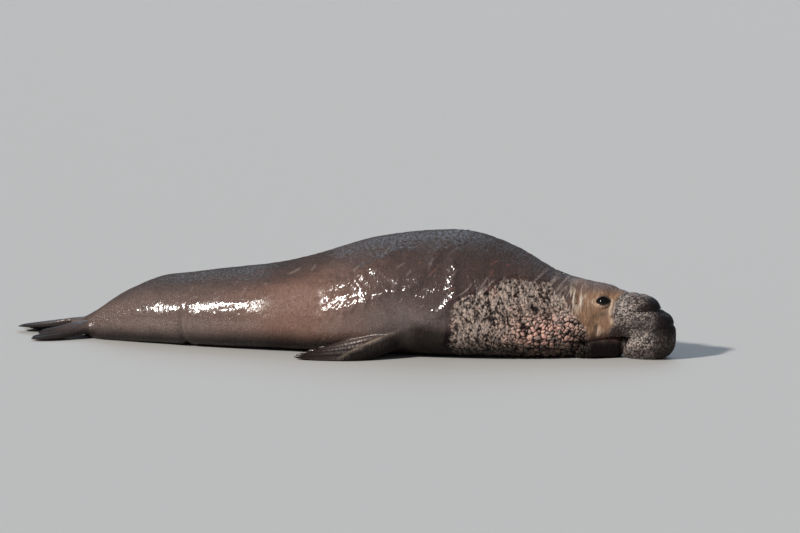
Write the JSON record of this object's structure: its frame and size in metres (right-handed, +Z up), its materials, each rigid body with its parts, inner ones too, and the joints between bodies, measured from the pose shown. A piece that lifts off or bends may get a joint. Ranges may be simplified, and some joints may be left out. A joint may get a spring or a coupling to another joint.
{
  "type": "elephant seal",
  "caption": "Bull elephant seal lying on its belly with its chin and drooping proboscis on the floor, fore flippers folded back and hind flippers trailing.",
  "frame": {"origin": "centre of the bounding box on the floor under the belly", "axes": "+X towards the head and proboscis, +Y to the animal's left, +Z up"},
  "size_m": [4.2518, 1.2814, 0.7479],
  "materials": {
    "hide": "wet short fur over creased hide, brown with a grey sheen",
    "face": "short tan-brown fur, damp",
    "proboscis": "pebbled grey-brown skin",
    "flipper": "dark damp skin with short fur",
    "eye": "wet, very dark brown"
  },
  "bodies": {
    "root": {"rump": "hide", "abdomen": "hide", "chest": "hide", "neck": "hide", "tail": "hide", "head": "face", "lower_jaw": "face", "proboscis": "proboscis", "fore_flipper_left": "flipper", "fore_flipper_right": "flipper", "hind_flipper_left": "flipper", "hind_flipper_right": "flipper", "eye_left": "eye", "eye_right": "eye"}
  },
  "joints": []
}
